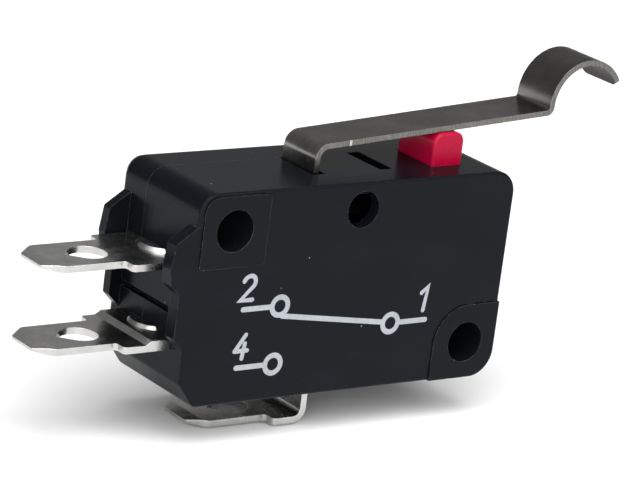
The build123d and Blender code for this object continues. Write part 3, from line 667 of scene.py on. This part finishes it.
def film_point(mesh, point, depth):
    """A vertex at an (x, z) point in millimetres, a depth in front of the printed face."""
    return mesh.verts.new((point[0] * MM, FACE_Y - depth, point[1] * MM))


def fill_end(mesh, corners, arc, film):
    """Fill the half circle at an end, between the two corners that each film has there."""
    caps = []
    for (first, last), depth in zip(corners, film):
        caps.append([first] + [film_point(mesh, point, depth) for point in arc] + [last])
    front, rear = caps
    mesh.faces.new(front)
    mesh.faces.new(list(reversed(rear)))
    for step in range(len(front) - 1):
        mesh.faces.new((front[step + 1], front[step], rear[step], rear[step + 1]))


def ribbon(mesh, points, width, layer):
    """A flat stroke along a line of (x, z) points, with round ends unless the line is closed."""
    closed = points[0] == points[-1]
    line = points[:-1] if closed else points
    half = width / 2
    pairs = [beside(line, index, half, closed) for index in range(len(line))]
    film = (INK_FILM + INK_STEP * layer, -INK_FILM)
    rows = []
    for depth in film:
        rows.append([[film_point(mesh, point, depth) for point in pair] for pair in pairs])
    for index in range(len(pairs) if closed else len(pairs) - 1):
        after = (index + 1) % len(pairs)
        (a, b), (c, d) = rows[0][index], rows[0][after]
        (e, f), (g, h) = rows[1][index], rows[1][after]
        for corners in ((a, b, d, c), (e, g, h, f), (a, c, g, e), (b, f, h, d)):
            mesh.faces.new(corners)
    if closed:
        return
    starts = [row[0] for row in rows]
    fill_end(mesh, starts, round_end(line[0], Vector(line[0]) - Vector(line[1]), half), film)
    stops = [(row[-1][1], row[-1][0]) for row in rows]
    fill_end(mesh, stops, round_end(line[-1], Vector(line[-1]) - Vector(line[-2]), half), film)


def printed(name, strokes, width):
    """A printed mark made of strokes, as one object that rides on the case."""
    mesh = bmesh.new()
    for layer, points in enumerate(strokes):
        ribbon(mesh, points, width, layer)
    bmesh.ops.recalc_face_normals(mesh, faces=mesh.faces)
    data = bpy.data.meshes.new(name)
    mesh.to_mesh(data)
    mesh.free()
    data.materials.append(ink)
    mark = bpy.data.objects.new(name, data)
    scene.collection.objects.link(mark)
    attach(mark, "case")
    return mark


print("ink film", round(INK_FILM / MM, 3), "mm thick")

# %% [markdown]
# The symbol is drawn as a circuit diagram has it: the common contact at the right, the two fixed
# contacts at the left, and the blade between, resting against the upper one. Its size follows the
# space that the face leaves.

# %% Circuit symbol
SYMBOL_STROKE = 0.4
COMMON_POINT = (-7.2, 2.1)
CLOSED_POINT = (-17.4, 4.3)
OPEN_POINT = (-17.4, -0.1)
POINT_RADIUS = 0.68
LEAD = 3.2
BLADE_DROP = 0.2
BLADE_PAST_RING = Vector((0.3, -0.1))

run = Vector(CLOSED_POINT) - Vector(COMMON_POINT)
blade_angle = math.atan((run.y - BLADE_DROP) / run.x)
blade_near = (
    COMMON_POINT[0] - POINT_RADIUS * math.cos(blade_angle),
    COMMON_POINT[1] - POINT_RADIUS * math.sin(blade_angle),
)
blade_far = (
    CLOSED_POINT[0] + BLADE_PAST_RING.x,
    CLOSED_POINT[1] - POINT_RADIUS + BLADE_PAST_RING.y,
)
rings = [circle_points(x, z, POINT_RADIUS) for x, z in (COMMON_POINT, CLOSED_POINT, OPEN_POINT)]
leads = [
    [(x + way * POINT_RADIUS, z), (x + way * LEAD, z)]
    for (x, z), way in ((COMMON_POINT, 1), (CLOSED_POINT, -1), (OPEN_POINT, -1))
]
symbol = printed("print_symbol", rings + [[blade_near, blade_far]] + leads, SYMBOL_STROKE)
print("symbol spans", round(symbol.dimensions.x / MM, 1), "mm")

# %% [markdown]
# The numbers are the usual ones for a changeover contact: 1 for the common, 2 for the normally
# closed and 4 for the normally open side. Each digit is drawn from straight strokes and arcs in a
# box one unit high, then leant over a little and set at its place.

# %% Terminal numbers
DIGIT_STROKE = 0.34
DIGIT_LEAN = 0.12
DIGIT_HEIGHT = 1.8
DIGIT_PLACES = {"1": (-4.9, 2.85), "2": (-21.0, 5.0), "4": (-21.0, 0.6)}
DIGIT_LINES = {
    "1": [[(0.05, 0.76), (0.32, 1.0), (0.32, 0.0)]],
    "2": [
        circle_points(0.3, 0.72, 0.28, start=165, sweep=-195, steps=14) + [(0.02, 0.0), (0.6, 0.0)]
    ],
    "4": [
        [(0.40, 0.98), (0.02, 0.32)],
        [(0.02, 0.32), (0.62, 0.32)],
        [(0.44, 0.62), (0.44, 0.0)],
    ],
}


def printed_digit(digit, x, z):
    """One digit, with its lower left corner at a place on the face."""
    strokes = []
    for points in DIGIT_LINES[digit]:
        strokes.append(
            [(x + (u + DIGIT_LEAN * v) * DIGIT_HEIGHT, z + v * DIGIT_HEIGHT) for u, v in points]
        )
    return printed("print_number_" + digit, strokes, DIGIT_STROKE)


numbers = [printed_digit(digit, *place) for digit, place in DIGIT_PLACES.items()]
print("numbers:", [mark.name for mark in numbers])

# %% [markdown]
# ## Light
#
# The lamps come after the finishes, because what they have to do depends on them. Each is a square
# of soft light. The large one above whitens the floor and gives the soft shadow, the low one at the
# left brings out the end wall, and the small one at the front right lifts the printed face.

# %% Lamps
def soft_panel(name, place_mm, side_mm, power):
    """A square lamp that faces the middle of the part."""
    lamp = bpy.data.lights.new(name, "AREA")
    lamp.shape = "SQUARE"
    lamp.size = side_mm * MM
    lamp.energy = power
    holder = bpy.data.objects.new(name, lamp)
    scene.collection.objects.link(holder)
    holder.location = Vector(place_mm) * MM
    direction = Vector(MIDDLE) * MM - holder.location
    holder.rotation_euler = direction.to_track_quat("-Z", "Y").to_euler()
    return holder


MIDDLE = (-11.0, 0.0, 6.0)
lamps = [
    soft_panel("lamp_above", (-150.0, -250.0, 880.0), 760.0, 5.4),
    soft_panel("lamp_low_left", (-357.0, -357.0, 126.0), 260.0, 0.8),
    soft_panel("lamp_front", (260.0, -420.0, 420.0), 160.0, 0.3),
]
print("lamps:", [lamp.name for lamp in lamps])

# %% [markdown]
# Metal and glossy plastic look like what they mirror, so the room matters as much as the lamps. It
# is dim all round, with a wide soft brightness overhead and to the front, which the bends of the
# lever and the tabs catch, and a faint one in the far corner, which the top of the case mirrors.

# %% Room
ROOM_LIGHT = 0.15
GLOWS = {
    "overhead": ((-0.25, -0.60, 0.76), 0.3, 1.6),
    "far_corner": ((0.60, 0.77, 0.22), 0.6, 0.15),
}
FULL_GLOW = 0.97


def glow_towards(tree, heading, direction, start, strength):
    """Light that grows, from a cosine on, towards one direction of the room."""
    towards = tree.nodes.new("ShaderNodeVectorMath")
    towards.operation = "DOT_PRODUCT"
    tree.links.new(heading, towards.inputs[0])
    towards.inputs[1].default_value = direction
    return spread(tree, towards.outputs["Value"], start, FULL_GLOW, 0.0, strength)


def dim_room():
    """The world's light: the same everywhere, plus each glow."""
    world = bpy.data.worlds.new("room")
    world.use_nodes = True
    tree = world.node_tree
    tree.nodes.clear()
    output = tree.nodes.new("ShaderNodeOutputWorld")
    glow = tree.nodes.new("ShaderNodeBackground")
    heading = tree.nodes.new("ShaderNodeTexCoord").outputs["Generated"]
    strength = ROOM_LIGHT
    for direction, start, peak in GLOWS.values():
        more = glow_towards(tree, heading, direction, start, peak)
        strength = reckon(tree, "ADD", more, strength)
    tree.links.new(strength, glow.inputs["Strength"])
    glow.inputs["Color"].default_value = (1.0, 1.0, 1.0, 1)
    tree.links.new(glow.outputs["Background"], output.inputs["Surface"])
    scene.world = world


dim_room()
scene.view_settings.view_transform = "Standard"
print("room glows:", ", ".join(GLOWS))

# %% [markdown]
# ## Floor paint
#
# The floor is matt and almost white, with a drift of brightness too slow to notice.

# %% Floor finish
def floor_paint():
    """Matt white."""
    material, tree, shader = start_finish("floor_paint")
    shader.inputs["Specular IOR Level"].default_value = 0.1
    drift = cloud(tree, 90.0, detail=2.0, seed=111.0)
    colour = blend_colours(tree, drift, (0.90, 0.90, 0.90, 1), (0.93, 0.93, 0.93, 1))
    paint(tree, shader, colour, 0.9)
    return material


floor.data.materials.append(floor_paint())
print("floor painted")
